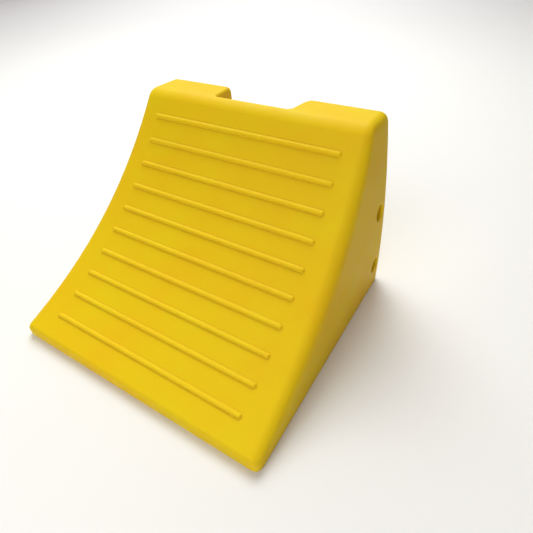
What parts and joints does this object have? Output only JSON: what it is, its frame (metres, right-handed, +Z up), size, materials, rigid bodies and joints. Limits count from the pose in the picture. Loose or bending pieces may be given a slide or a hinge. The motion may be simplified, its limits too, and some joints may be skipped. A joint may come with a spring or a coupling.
{
  "type": "wheel chock",
  "caption": "Moulded wedge that blocks a truck or trailer tyre, with a concave ribbed face, a hand channel in its back and rope holes through its sides.",
  "frame": {"origin": "middle of the footprint on the floor plane, at the bottom centre of the bounding box", "axes": "+X across the chock, +Y from the toe towards the back, +Z up from the floor; the chock mirrors about x = 0"},
  "size_m": [0.305, 0.279, 0.203],
  "materials": {
    "yellow_urethane": "satin moulded urethane with a faint skin texture",
    "amber_sleeve": "matte moulded tube",
    "core_foam": "closed-cell rigid foam",
    "sole_rubber": "matte black rubber with cross grooves"
  },
  "bodies": {
    "root": {"chock_shell": "yellow_urethane", "core_left": "core_foam", "core_centre": "core_foam", "core_right": "core_foam", "rubber_sole_left": "sole_rubber", "rubber_sole_centre": "sole_rubber", "rubber_sole_right": "sole_rubber", "rope_sleeve_lower_left": "amber_sleeve", "rope_sleeve_lower_right": "amber_sleeve", "rope_sleeve_upper_left": "amber_sleeve", "rope_sleeve_upper_right": "amber_sleeve"}
  },
  "joints": []
}
